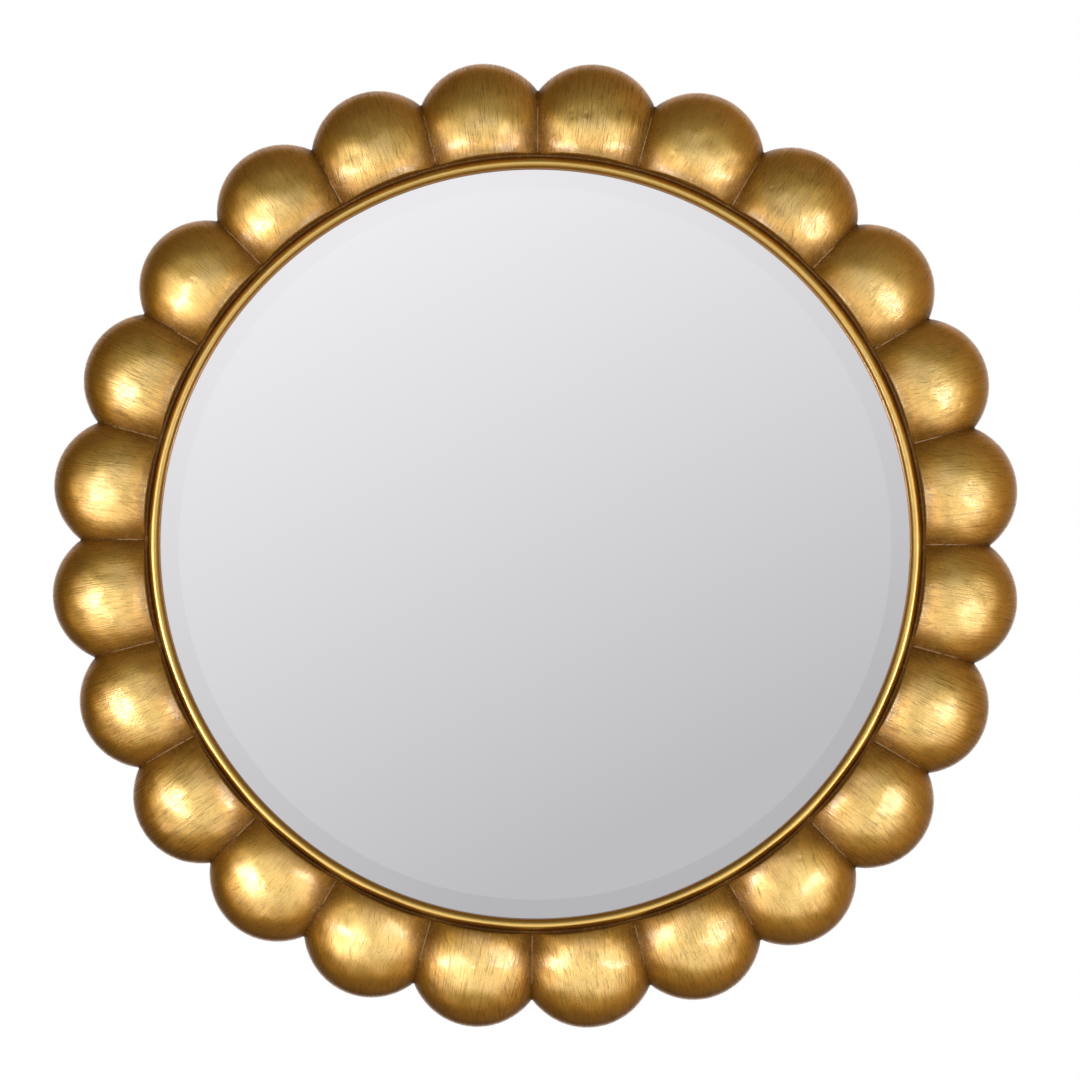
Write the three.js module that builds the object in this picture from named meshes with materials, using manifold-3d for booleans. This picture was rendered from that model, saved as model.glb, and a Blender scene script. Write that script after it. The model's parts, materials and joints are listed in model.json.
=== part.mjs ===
// Round wall mirror in a gilt bubble frame: a bevelled glass plate held behind a turned half-round bead,
// with a ring of domed wooden lobes round it that meet in sharp radial creases.
//
// The mirror is built lying on its back, X to the right, Y up the wall and Z out of the wall into the room,
// with its centre line on Z and the wall at Z = 0. The exported group stands it up, so that in the end
// +Z is up, the glass faces -Y and the wall is the plane Y = 0. Sizes are in millimetres.
import * as THREE from "three";
import { mergeVertices, toCreasedNormals } from "three/addons/utils/BufferGeometryUtils.js";
import Module from "manifold-3d";

const wasm = await Module();
wasm.setup();

// ---------------------------------------------------------------- Driving dimensions

const FIT_GAP = 0.3; // between two pieces that rest on or beside each other

const SIGHT_RADIUS = 351; // inner edge of the bead, round the glass that shows
const BEAD_WIDTH = 10;
const BEAD_HEIGHT = 6.5; // from the ledge that the glass rests on to the crown of the bead
const GROOVE_WIDTH = 4.7; // hollow between the bead and the lobes
const RABBET_OVERLAP = 7; // width of glass that the bead covers
const RABBET_DEPTH = 22; // from the back of the bead ring to the ledge
const RABBET_CLEARANCE = 0.6; // round the edge of the glass

const LOBE_COUNT = 24;
const LOBE_RADIUS = 64;
const LOBE_AXIS_OFFSET = 27; // from a lobe's inner face out to its dome's axis
const LOBE_SKIRT = 4; // straight wall below the dome
const DOME_HEIGHT = 38;

const GLASS_THICKNESS = 5;
const GLASS_EDGE_THICKNESS = 2.7;
const BEVEL_WIDTH = 25;
const BACK_BOARD_THICKNESS = 3;
const BACK_BOARD_CLEARANCE = 1.1; // round the edge of the board

const BACKING_THICKNESS = 12;
const BACKING_WIDTH = 37; // the backing ring stays out of sight in front, inside the valleys between lobes
const CLIP_LAND_WIDTH = 19; // bare back of each lobe, inside the backing ring, where a clip is screwed on

const CLIP_THICKNESS = 1.2;
const CLIP_WIDTH = 16;
const CLIP_BEND_RADIUS = 1.4; // inside a bend
const CLIP_CORNER_RADIUS = 5;
const CLIP_TOE_LENGTH = 12;
const CLIP_END_MARGIN = 4; // from the clip's outer end to the backing ring
const CLIP_SCREW_INSET = 8; // from a lobe's inner face out to the screw
const LOBES_PER_CLIP = 3;

const SCREW_RADIUS = 1.75;
const SCREW_POINT_LENGTH = 3;
const SCREW_HEAD_RADIUS = 4;
const SCREW_HEAD_HEIGHT = 2.3;
const SCREW_HEAD_RIM = 0.7;
const SCREW_SHOULDER_WIDTH = 1.2; // from the rim of the head in to its flatter crown
const SCREW_CROWN_HEIGHT = 0.35;
const SCREW_HOLE_CLEARANCE = 0.5; // round a screw where it passes through sheet metal
const CLIP_SCREW_LENGTH = 16;
const HANGER_SCREW_MARGIN = 3; // wood left in front of a hanger screw's point
const PILOT_EXTRA_DEPTH = 0.6; // past the point of a screw

const STRAP_THICKNESS = 1.5;
const STRAP_WIDTH = 13;
const STRAP_CORNER_RADIUS = 5;
const STRAP_END_MARGIN = 8; // from the lower screw to the strap's lower end
const STRAP_SCREW_SPACING = 13;
const EYE_CLEARANCE = 0.35; // between the ring's bar and the eye
const RING_WIRE_RADIUS = 1.5;
const RING_SIDE_CLEARANCE = 2; // between each side of the strap and the ring
const RING_CORNER_RADIUS = 3; // at the ends of the bar, along the middle of the wire
const RING_ARM_LENGTH = 2.5; // straight wire between a corner and the bow
const RING_SCREW_SPACE = 4; // between the hanging ring and the upper screw's head
const HANGER_LOBE = 4; // the hangers are behind these lobes, counted from the top crease
const WALL_CLEARANCE = 1.3; // between the hangers and the wall

const BUMPER_RADIUS = 10;
const BUMPER_TAPER = 0.8; // the face on the wall is smaller by this much in radius
const BUMPER_EDGE = 1; // rounded edge on the wall side
const BUMPER_LOBE = 2; // the bumpers are behind these lobes, counted from the top and bottom creases

// ---------------------------------------------------------------- Facets

const LOBE_FACE_FACETS = 4; // of every turned ring, behind each lobe
const DOME_SEGMENTS = 28;
const DOME_STEPS = 5;
const BEAD_STEPS = 5;
const GROOVE_STEPS = 2;
const BEND_FACETS = 2;
const EYE_FACETS = 14;
const RING_STEPS = 24;
const WIRE_FACETS = 8;
const SCREW_FACETS = 8;
const HOLE_FACETS = 10;
const BUMPER_FACETS = 16;
const CREASE_SHADING = Math.PI / 5; // sharper edges than this are shaded as edges

// ---------------------------------------------------------------- Derived sizes

const halfPitch = Math.PI / LOBE_COUNT;
const turnedSegments = LOBE_FACE_FACETS * LOBE_COUNT;

const beadRadius = BEAD_WIDTH / 2;
const beadOuterRadius = SIGHT_RADIUS + BEAD_WIDTH;
const ringOuterRadius = beadOuterRadius + GROOVE_WIDTH;
const lobeInnerRadius = ringOuterRadius + FIT_GAP;
const lobeAxisRadius = lobeInnerRadius + LOBE_AXIS_OFFSET;
const glassRadius = SIGHT_RADIUS + RABBET_OVERLAP;
const rabbetRadius = glassRadius + RABBET_CLEARANCE;

const eyeInnerRadius = RING_WIRE_RADIUS + EYE_CLEARANCE;
const eyeOuterRadius = eyeInnerRadius + STRAP_THICKNESS;

// Heights above the wall, from back to front.
const bumperHeight = WALL_CLEARANCE + 2 * eyeOuterRadius;
const backingRear = bumperHeight + FIT_GAP;
const backingFront = backingRear + BACKING_THICKNESS;
const frameRear = backingFront + FIT_GAP;
const domeBase = frameRear + LOBE_SKIRT;
const ledgeHeight = frameRear + RABBET_DEPTH;
const beadSpring = ledgeHeight + BEAD_HEIGHT - beadRadius;

// The glass comes forward until its bevel meets the ledge at the sight edge.
const bevelSlope = (GLASS_THICKNESS - GLASS_EDGE_THICKNESS) / BEVEL_WIDTH;
const bevelShown = SIGHT_RADIUS - (glassRadius - BEVEL_WIDTH);
const glassFront = ledgeHeight - FIT_GAP + bevelSlope * bevelShown;
const glassRear = glassFront - GLASS_THICKNESS;
const boardFront = glassRear - FIT_GAP;
const boardRear = boardFront - BACK_BOARD_THICKNESS;

const backingInnerRadius = lobeInnerRadius + CLIP_LAND_WIDTH;
const clipScrewRadius = lobeInnerRadius + CLIP_SCREW_INSET;
const pilotRadius = SCREW_RADIUS + FIT_GAP;
const throughRadius = SCREW_RADIUS + SCREW_HOLE_CLEARANCE;
const backingOuterRadius = backingInnerRadius + BACKING_WIDTH;
const hardwareRadius = (backingInnerRadius + backingOuterRadius) / 2;

// The ring of a hanger, and the strap that is long enough to keep its screws below the hanging ring.
const bowRadius = STRAP_WIDTH / 2 + RING_SIDE_CLEARANCE + RING_WIRE_RADIUS;
const ringReach = RING_CORNER_RADIUS + RING_ARM_LENGTH + bowRadius + RING_WIRE_RADIUS;
const upperScrewOffset = ringReach + RING_SCREW_SPACE + SCREW_HEAD_RADIUS;
const lowerScrewOffset = upperScrewOffset + STRAP_SCREW_SPACING;
const strapLength = lowerScrewOffset + STRAP_END_MARGIN;
const hangerScrewLength = BACKING_THICKNESS - HANGER_SCREW_MARGIN + STRAP_THICKNESS + 2 * FIT_GAP;

// ---------------------------------------------------------------- Making and cutting solids

const MERGE_DISTANCE = 1e-4;
const OVERCUT = 1; // cutters start and end this far outside the piece that they cut

// A closed geometry as a solid that can be joined and cut.
function solidOf(geometry) {
  const bare = geometry.clone();
  bare.deleteAttribute("normal");
  bare.deleteAttribute("uv");
  const merged = mergeVertices(bare, MERGE_DISTANCE);
  const mesh = new wasm.Mesh({
    numProp: 3,
    vertProperties: merged.attributes.position.array,
    triVerts: new Uint32Array(merged.index.array),
  });
  return new wasm.Manifold(mesh);
}

function geometryOf(solid) {
  const mesh = solid.getMesh();
  const geometry = new THREE.BufferGeometry();
  geometry.setAttribute("position", new THREE.BufferAttribute(mesh.vertProperties, 3));
  geometry.setIndex(new THREE.BufferAttribute(mesh.triVerts, 1));
  return toCreasedNormals(geometry, CREASE_SHADING);
}

// Revolves a profile of [radius, height] points about the Z axis.
function revolve(profile, segments) {
  const points = profile.map(([radius, height]) => new THREE.Vector2(radius, height));
  return new THREE.LatheGeometry(points, segments).rotateX(Math.PI / 2);
}

// An outline pushed along Z. An arc gets twice as many facets as curveSegments says.
function extrude(outline, depth, arcFacets) {
  const options = { depth, bevelEnabled: false, curveSegments: arcFacets / 2 };
  return new THREE.ExtrudeGeometry(outline, options);
}

// A flat outline in X and Y made into a plate from one height to another.
function plate(outline, low, high, arcFacets) {
  return extrude(outline, high - low, arcFacets).translate(0, 0, low);
}

// A side view, X along the piece and Y its height, made as wide as stated along Y and centred there.
function bentStrip(sideView, width, arcFacets) {
  return extrude(sideView, width, arcFacets).rotateX(Math.PI / 2).translate(0, width / 2, 0);
}

// The solid with a round hole cut along Z from one height to another.
function drill(solid, x, y, radius, low, high) {
  const bit = new THREE.CylinderGeometry(radius, radius, high - low, HOLE_FACETS);
  return solid.subtract(solidOf(bit.rotateX(Math.PI / 2).translate(x, y, (low + high) / 2)));
}

// Points of a section along an arc, from one angle to another.
function arcPoints(x, y, radius, fromAngle, toAngle, steps) {
  const points = [];
  for (let i = 0; i <= steps; i += 1) {
    const angle = fromAngle + ((toAngle - fromAngle) * i) / steps;
    points.push([x + radius * Math.cos(angle), y + radius * Math.sin(angle)]);
  }
  return points;
}

// ---------------------------------------------------------------- Materials

const finishes = {
  gilt: { color: 0xd9ae5b, roughness: 0.32, metalness: 0.85 },
  mirror: { color: 0xd8d8d6, roughness: 0.03, metalness: 1 },
  plywood: { color: 0xb98f5e, roughness: 0.7, metalness: 0 },
  hardboard: { color: 0x5a3d28, roughness: 0.75, metalness: 0 },
  zinc: { color: 0xb9bcc0, roughness: 0.35, metalness: 0.9 },
  rubber: { color: 0x1d1d1e, roughness: 0.85, metalness: 0 },
};

function piece(name, geometry, finish) {
  const mesh = new THREE.Mesh(geometry, new THREE.MeshStandardMaterial(finishes[finish]));
  mesh.name = name;
  return mesh;
}

// ---------------------------------------------------------------- Lobes

// The slice of the frame that belongs to one lobe, seen from the front, with half a gap left on each side.
function lobeSector() {
  const farRadius = lobeAxisRadius + 2 * LOBE_RADIUS;
  const innerAngle = halfPitch - Math.asin(FIT_GAP / 2 / lobeInnerRadius);
  const outerAngle = halfPitch - Math.asin(FIT_GAP / 2 / farRadius);
  const sector = new THREE.Shape();
  sector.absarc(0, 0, farRadius, -outerAngle, outerAngle, false);
  sector.absarc(0, 0, lobeInnerRadius, innerAngle, -innerAngle, true);
  return sector;
}

// Half an ellipsoid on a straight skirt, cut by the two creases and by the bead ring. It lies along +X.
function lobeSolid() {
  const profile = [
    [0, frameRear],
    [LOBE_RADIUS, frameRear],
  ];
  for (let i = 0; i <= DOME_STEPS; i += 1) {
    const angle = (Math.PI / 2) * (i / DOME_STEPS);
    profile.push([LOBE_RADIUS * Math.cos(angle), domeBase + DOME_HEIGHT * Math.sin(angle)]);
  }
  profile[profile.length - 1][0] = 0;
  const dome = solidOf(revolve(profile, DOME_SEGMENTS).translate(lobeAxisRadius, 0, 0));
  const top = domeBase + DOME_HEIGHT + OVERCUT;
  const sector = solidOf(plate(lobeSector(), frameRear - OVERCUT, top, LOBE_FACE_FACETS));
  return dome.intersect(sector);
}

// A lobe with the blind hole in its back that takes a clip's screw.
function drilledLobe(lobe) {
  const depth = CLIP_SCREW_LENGTH + PILOT_EXTRA_DEPTH - CLIP_THICKNESS - 2 * FIT_GAP;
  return drill(lobe, clipScrewRadius, 0, pilotRadius, frameRear - OVERCUT, frameRear + depth);
}

// Lobes are counted clockwise from the crease at the top.
const lobeAngle = (index) => Math.PI / 2 - (2 * index + 1) * halfPitch;
const carriesClip = (index) => index % LOBES_PER_CLIP === 1;

function lobes() {
  const group = new THREE.Group();
  const solid = lobeSolid();
  const plain = geometryOf(solid);
  const drilled = geometryOf(drilledLobe(solid));
  for (let i = 0; i < LOBE_COUNT; i += 1) {
    const name = "lobe_" + String(i + 1).padStart(2, "0");
    const lobe = piece(name, carriesClip(i) ? drilled : plain, "gilt");
    lobe.rotation.z = lobeAngle(i);
    group.add(lobe);
  }
  return group;
}

// ---------------------------------------------------------------- Bead ring, glass and boards

// Section of the bead ring, anticlockwise from the back of the rabbet: the rabbet's wall and ledge, the
// half-round bead, the hollow groove outside it, and the outer wall that the lobes meet.
function sightBead() {
  const bead = arcPoints(SIGHT_RADIUS + beadRadius, beadSpring, beadRadius, Math.PI, 0, BEAD_STEPS);
  const grooveRadius = GROOVE_WIDTH / 2;
  const grooveMiddle = beadOuterRadius + grooveRadius;
  const groove = arcPoints(grooveMiddle, beadSpring, grooveRadius, Math.PI, 2 * Math.PI, GROOVE_STEPS);
  const section = [
    [rabbetRadius, frameRear],
    [rabbetRadius, ledgeHeight],
    [SIGHT_RADIUS, ledgeHeight],
    ...bead,
    ...groove.slice(1),
    [ringOuterRadius, frameRear],
    [rabbetRadius, frameRear],
  ];
  return piece("sight_bead", revolve(section.reverse(), turnedSegments), "gilt");
}

function mirrorGlass() {
  const flatRadius = glassRadius - BEVEL_WIDTH;
  const profile = [
    [0, glassRear],
    [glassRadius, glassRear],
    [glassRadius, glassRear + GLASS_EDGE_THICKNESS],
    [flatRadius, glassFront],
    [0, glassFront],
  ];
  return piece("mirror_glass", revolve(profile, turnedSegments), "mirror");
}

function backBoard() {
  const radius = rabbetRadius - BACK_BOARD_CLEARANCE;
  const profile = [
    [0, boardRear],
    [radius, boardRear],
    [radius, boardFront],
    [0, boardFront],
  ];
  return piece("back_board", revolve(profile, turnedSegments), "hardboard");
}

// A flat plywood ring that every lobe is glued to, drilled for the hangers' screws.
function backingRing() {
  const profile = [
    [backingInnerRadius, backingRear],
    [backingOuterRadius, backingRear],
    [backingOuterRadius, backingFront],
    [backingInnerRadius, backingFront],
    [backingInnerRadius, backingRear],
  ];
  let solid = solidOf(revolve(profile, turnedSegments));
  const pilotTop = backingFront - HANGER_SCREW_MARGIN + PILOT_EXTRA_DEPTH;
  for (const side of [-1, 1]) {
    const [x, y] = eyePlace(side);
    for (const offset of [upperScrewOffset, lowerScrewOffset]) {
      solid = drill(solid, x, y - offset, pilotRadius, backingRear - OVERCUT, pilotTop);
    }
  }
  return piece("backing_ring", geometryOf(solid), "plywood");
}

// ---------------------------------------------------------------- Screws

// A pan-head wood screw along Z. The underside of its head is at Z = 0 and the head is above it.
function screwGeometry(length) {
  const profile = [
    [0, -length],
    [SCREW_RADIUS, SCREW_POINT_LENGTH - length],
    [SCREW_RADIUS, 0],
    [SCREW_HEAD_RADIUS, 0],
    [SCREW_HEAD_RADIUS, SCREW_HEAD_RIM],
    [SCREW_HEAD_RADIUS - SCREW_SHOULDER_WIDTH, SCREW_HEAD_HEIGHT - SCREW_CROWN_HEIGHT],
    [0, SCREW_HEAD_HEIGHT],
  ];
  return revolve(profile, SCREW_FACETS);
}

// ---------------------------------------------------------------- Clips that hold the board and glass

// A strip bent twice: the foot lies on the back of a lobe, the riser goes forward inside the rabbet and
// the toe presses on the back board. X runs out from the mirror's centre and Z towards the room.
function clipGeometry() {
  const footFront = frameRear - FIT_GAP;
  const toeFront = boardRear - FIT_GAP;
  const footRear = footFront - CLIP_THICKNESS;
  const toeRear = toeFront - CLIP_THICKNESS;
  const footEnd = backingInnerRadius - CLIP_END_MARGIN;
  const riserOut = rabbetRadius - BACK_BOARD_CLEARANCE;
  const riserIn = riserOut - CLIP_THICKNESS;
  const toeEnd = riserIn - CLIP_TOE_LENGTH;
  const inside = CLIP_BEND_RADIUS;
  const outside = CLIP_BEND_RADIUS + CLIP_THICKNESS;

  const side = new THREE.Shape();
  side.moveTo(footEnd, footFront);
  side.lineTo(riserOut + inside, footFront);
  side.absarc(riserOut + inside, footFront + inside, inside, 1.5 * Math.PI, Math.PI, true);
  side.absarc(riserOut - outside, toeFront - outside, outside, 0, Math.PI / 2, false);
  side.lineTo(toeEnd, toeFront);
  side.lineTo(toeEnd, toeRear);
  side.absarc(riserIn - inside, toeRear - inside, inside, Math.PI / 2, 0, true);
  side.absarc(riserIn + outside, footRear + outside, outside, Math.PI, 1.5 * Math.PI, false);
  side.lineTo(footEnd, footRear);

  const outline = roundedOutline(toeEnd, footEnd, CLIP_WIDTH, CLIP_CORNER_RADIUS);
  const plan = solidOf(plate(outline, footRear - OVERCUT, toeFront + OVERCUT, BEND_FACETS));
  const blank = solidOf(bentStrip(side, CLIP_WIDTH, BEND_FACETS)).intersect(plan);
  return geometryOf(drill(blank, clipScrewRadius, 0, throughRadius, footRear - OVERCUT, footFront + OVERCUT));
}

// A strip's plan from one X to another, with rounded corners that leave some of its end straight.
function roundedOutline(fromX, toX, width, cornerRadius) {
  const half = width / 2;
  const radius = Math.min(cornerRadius, 0.9 * half);
  const outline = new THREE.Shape();
  outline.absarc(toX - radius, half - radius, radius, 0, Math.PI / 2, false);
  outline.absarc(fromX + radius, half - radius, radius, Math.PI / 2, Math.PI, false);
  outline.absarc(fromX + radius, radius - half, radius, Math.PI, 1.5 * Math.PI, false);
  outline.absarc(toX - radius, radius - half, radius, 1.5 * Math.PI, 2 * Math.PI, false);
  return outline;
}

function clips() {
  const group = new THREE.Group();
  const clip = clipGeometry();
  const screw = screwGeometry(CLIP_SCREW_LENGTH);
  let number = 0;
  for (let i = 0; i < LOBE_COUNT; i += 1) {
    if (!carriesClip(i)) continue;
    number += 1;
    const station = new THREE.Group();
    station.rotation.z = lobeAngle(i);
    station.add(piece("clip_" + number, clip, "zinc"));
    const fixing = piece("clip_screw_" + number, screw, "zinc");
    fixing.position.set(clipScrewRadius, 0, frameRear - 2 * FIT_GAP - CLIP_THICKNESS);
    fixing.rotation.x = Math.PI;
    station.add(fixing);
    group.add(station);
  }
  return group;
}

// ---------------------------------------------------------------- Hangers

// Where a hanger's eye is, in X and Y of the mirror: the middle of its strap is behind the middle of a lobe.
function eyePlace(side) {
  const angle = lobeAngle(HANGER_LOBE);
  const x = side * hardwareRadius * Math.cos(angle);
  const y = hardwareRadius * Math.sin(angle) + strapLength / 2;
  return [x, y];
}

// Steel strip whose upper end is rolled round the ring's bar until it nearly meets the strap again. Here X
// runs up the strap, from the eye's axis, and Z away from the backing ring.
function strapGeometry() {
  const closing = (eyeOuterRadius - STRAP_THICKNESS - FIT_GAP) / eyeOuterRadius;
  const tipAngle = Math.PI + Math.asin(closing);
  const side = new THREE.Shape();
  side.moveTo(-strapLength, 0);
  side.lineTo(0, 0);
  side.absarc(0, eyeOuterRadius, eyeOuterRadius, -Math.PI / 2, tipAngle, false);
  side.absarc(0, eyeOuterRadius, eyeInnerRadius, tipAngle, -Math.PI / 2, true);
  side.lineTo(-strapLength, STRAP_THICKNESS);

  const pastEye = eyeOuterRadius + 2 * STRAP_CORNER_RADIUS;
  const outline = roundedOutline(-strapLength, pastEye, STRAP_WIDTH, STRAP_CORNER_RADIUS);
  const plan = solidOf(plate(outline, -OVERCUT, 2 * eyeOuterRadius + OVERCUT, BEND_FACETS));
  let solid = solidOf(bentStrip(side, STRAP_WIDTH, EYE_FACETS)).intersect(plan);
  for (const offset of [upperScrewOffset, lowerScrewOffset]) {
    solid = drill(solid, -offset, 0, throughRadius, -OVERCUT, STRAP_THICKNESS + OVERCUT);
  }
  return geometryOf(solid);
}

// The middle line of the ring's wire, hanging from the eye's axis: a straight bar, two short arms and a bow.
class RingLine extends THREE.Curve {
  constructor() {
    super();
    const corner = RING_CORNER_RADIUS;
    this.outline = new THREE.Path();
    this.outline.moveTo(0, 0);
    this.outline.absarc(bowRadius - corner, -corner, corner, Math.PI / 2, 0, true);
    this.outline.absarc(0, -corner - RING_ARM_LENGTH, bowRadius, 0, -Math.PI, true);
    this.outline.absarc(corner - bowRadius, -corner, corner, Math.PI, Math.PI / 2, true);
    this.outline.lineTo(0, 0);
  }

  getPoint(t) {
    const point = this.outline.getPointAt(t % 1);
    return new THREE.Vector3(point.x, point.y, 0);
  }
}

// A hanger on the back of the frame. Its own X runs to the left seen from the front, Y up and Z to the wall.
function hanger(side, name) {
  const group = new THREE.Group();
  const [x, y] = eyePlace(side);
  group.position.set(x, y, backingRear - FIT_GAP);
  group.rotation.y = Math.PI;

  const strap = piece(name + "_strap", strapGeometry(), "zinc");
  strap.rotation.z = Math.PI / 2;
  group.add(strap);

  const wire = new THREE.TubeGeometry(new RingLine(), RING_STEPS, RING_WIRE_RADIUS, WIRE_FACETS, true);
  const ring = piece(name + "_ring", wire, "zinc");
  ring.position.z = eyeOuterRadius;
  group.add(ring);

  const upper = piece(name + "_upper_screw", screwGeometry(hangerScrewLength), "zinc");
  upper.position.set(0, -upperScrewOffset, STRAP_THICKNESS + FIT_GAP);
  const lower = piece(name + "_lower_screw", screwGeometry(hangerScrewLength), "zinc");
  lower.position.set(0, -lowerScrewOffset, STRAP_THICKNESS + FIT_GAP);
  group.add(upper, lower);
  return group;
}

// ---------------------------------------------------------------- Bumpers

// Rubber buttons on the backing ring that keep the hangers off the wall.
function bumpers() {
  const faceRadius = BUMPER_RADIUS - BUMPER_TAPER;
  const profile = [
    [0, 0],
    [faceRadius - BUMPER_EDGE, 0],
    [faceRadius, BUMPER_EDGE],
    [BUMPER_RADIUS, bumperHeight],
    [0, bumperHeight],
  ];
  const geometry = revolve(profile, BUMPER_FACETS);
  const group = new THREE.Group();
  for (const level of ["upper", "lower"]) {
    for (const side of ["left", "right"]) {
      const bumper = piece("bumper_" + level + "_" + side, geometry, "rubber");
      const across = hardwareRadius * Math.cos(lobeAngle(BUMPER_LOBE));
      const up = hardwareRadius * Math.sin(lobeAngle(BUMPER_LOBE));
      bumper.position.x = side === "left" ? -across : across;
      bumper.position.y = level === "upper" ? up : -up;
      group.add(bumper);
    }
  }
  return group;
}

// ---------------------------------------------------------------- The whole mirror

const mirror = new THREE.Group();
mirror.rotation.x = Math.PI / 2;
mirror.add(lobes());
mirror.add(sightBead());
mirror.add(mirrorGlass());
mirror.add(backBoard());
mirror.add(backingRing());
mirror.add(clips());
mirror.add(hanger(-1, "hanger_left"));
mirror.add(hanger(1, "hanger_right"));
mirror.add(bumpers());

const part = new THREE.Group();
part.add(mirror);

export default part;
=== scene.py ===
"""The looks of a round wall mirror in a gilt bubble frame.

The mirror's centre line runs along Y, its glass faces -Y and the wall is the plane Y = 0.
Shapes are worked out lying on their back, as (x, y, z) with z out of the wall, and stand() sets them up.
Lengths are in metres.
"""

import json
import math

import bmesh
import bpy
import numpy as np
from mathutils import Matrix, Vector


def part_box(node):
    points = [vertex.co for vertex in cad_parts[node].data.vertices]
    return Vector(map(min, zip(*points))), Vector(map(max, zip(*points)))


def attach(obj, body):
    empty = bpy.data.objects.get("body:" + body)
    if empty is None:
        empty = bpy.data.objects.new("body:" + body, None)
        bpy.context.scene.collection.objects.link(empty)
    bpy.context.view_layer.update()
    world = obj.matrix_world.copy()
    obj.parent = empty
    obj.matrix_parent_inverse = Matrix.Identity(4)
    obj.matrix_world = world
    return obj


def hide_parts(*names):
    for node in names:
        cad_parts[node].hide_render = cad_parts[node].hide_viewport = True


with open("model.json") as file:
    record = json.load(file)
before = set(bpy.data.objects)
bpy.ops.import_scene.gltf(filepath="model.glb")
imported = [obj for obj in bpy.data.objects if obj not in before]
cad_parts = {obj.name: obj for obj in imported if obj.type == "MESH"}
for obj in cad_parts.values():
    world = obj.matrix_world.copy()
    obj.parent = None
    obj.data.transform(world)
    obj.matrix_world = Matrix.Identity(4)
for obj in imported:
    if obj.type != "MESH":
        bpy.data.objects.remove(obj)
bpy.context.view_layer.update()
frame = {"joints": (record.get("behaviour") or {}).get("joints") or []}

# ---- Sizes, from the frame and a few of its own

MM = 0.001
FIT_GAP = 0.3 * MM
RABBET_CLEARANCE = 0.6 * MM  # round the edge of the glass
SAME_POINT = 0.001 * MM  # places on a path that are nearer than this are one

LOBE_COUNT = 24
HALF_PITCH = math.pi / LOBE_COUNT
LOBE_RADIUS = 63.7 * MM  # a little inside the solid lobes
LOBE_AXIS_OFFSET = 27 * MM
LOBE_SKIRT = 4 * MM
DOME_HEIGHT = 38 * MM

BEAD_RADIUS = 5 * MM
GROOVE_RADIUS = 2.35 * MM
BEVEL_WIDTH = 25 * MM
GLASS_EDGE_THICKNESS = 2.7 * MM

INNER_EDGE_ROUND = 0.8 * MM  # worn edge of a lobe above the groove
OVERHANG = 1.2 * MM  # how far gesso and leaf carry a lobe's edge out over the groove
CREASE_HALF_GAP = 0.08 * MM
BACK_EDGE_EASE = 0.5 * MM
BACKING_SET_BACK = 19 * MM  # from the lobes' inner edge to the backing ring's


def low(node):
    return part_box(node)[0]


def high(node):
    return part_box(node)[1]


ring_outer = high("sight_bead").x
lobe_inner = ring_outer + FIT_GAP
lobe_axis = lobe_inner + LOBE_AXIS_OFFSET
frame_rear = -high("lobe_01").y
dome_base = frame_rear + LOBE_SKIRT
bead_outer = ring_outer - 2 * GROOVE_RADIUS
sight_radius = bead_outer - 2 * BEAD_RADIUS
bead_spring = -low("sight_bead").y - BEAD_RADIUS
edge_radius = lobe_inner - OVERHANG
glass_radius = high("mirror_glass").x
glass_front = -low("mirror_glass").y
glass_rear = -high("mirror_glass").y
board_radius = high("back_board").x
board_front = -low("back_board").y
board_rear = -high("back_board").y
backing_outer = high("backing_ring").x
backing_front = -low("backing_ring").y
backing_rear = -high("backing_ring").y


# ---- Making meshes


def stand(points):
    """Lying points, with z out of the wall, as points of the hung mirror."""
    points = np.asarray(points, float)
    return np.stack([points[:, 0], -points[:, 2], points[:, 1]], axis=1)


def turned(points, angle):
    """Lying points turned about the mirror's centre line."""
    points = np.asarray(points, float)
    c, s = math.cos(angle), math.sin(angle)
    return np.stack(
        [c * points[:, 0] - s * points[:, 1], s * points[:, 0] + c * points[:, 1], points[:, 2]],
        axis=1,
    )


def tube_faces(first, rings, sides, closed=False):
    """Faces of a tube whose points go ring by ring from a first one. An open tube gets flat ends."""
    faces = []
    for i in range(rings if closed else rings - 1):
        here = first + i * sides
        there = first + (i + 1) % rings * sides
        for j in range(sides):
            k = (j + 1) % sides
            faces.append((here + j, here + k, there + k, there + j))
    if not closed:
        last = first + (rings - 1) * sides
        faces.append([first + j for j in range(sides)])
        faces.append([last + j for j in range(sides)])
    return faces


def distance_along(path):
    """How far each point of a path lies from its start, along the path."""
    steps = np.hypot(*np.diff(np.asarray(path, float), axis=0).T)
    return np.concatenate([[0], np.cumsum(steps)])


def make_mesh(name, points, faces, sharp_angle=math.radians(35)):
    """A closed mesh with its faces pointing out."""
    mesh = bpy.data.meshes.new(name)
    mesh.from_pydata([tuple(p) for p in points], [], faces)
    edit = bmesh.new()
    edit.from_mesh(mesh)
    bmesh.ops.recalc_face_normals(edit, faces=edit.faces)
    edit.to_mesh(mesh)
    edit.free()
    mesh.shade_smooth()
    mesh.set_sharp_from_angle(angle=sharp_angle)
    return mesh


def set_floats(mesh, name, values):
    attribute = mesh.attributes.new(name, "FLOAT", "POINT")
    attribute.data.foreach_set("value", np.asarray(values, np.float32))


def set_vectors(mesh, name, values):
    attribute = mesh.attributes.new(name, "FLOAT_VECTOR", "POINT")
    attribute.data.foreach_set("vector", np.asarray(values, np.float32).ravel())


def add_object(name, data):
    made = bpy.data.objects.new(name, data)
    bpy.context.scene.collection.objects.link(made)
    return made


def add_piece(mesh, name, materials, replaced=(), body="frame"):
    """An object that rides on a body, takes its finish from a slot and stands for CAD nodes."""
    piece = add_object(name, mesh)
    for material in materials:
        mesh.materials.append(material)
    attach(piece, body)
    if replaced:
        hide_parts(*replaced)
    return piece


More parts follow.
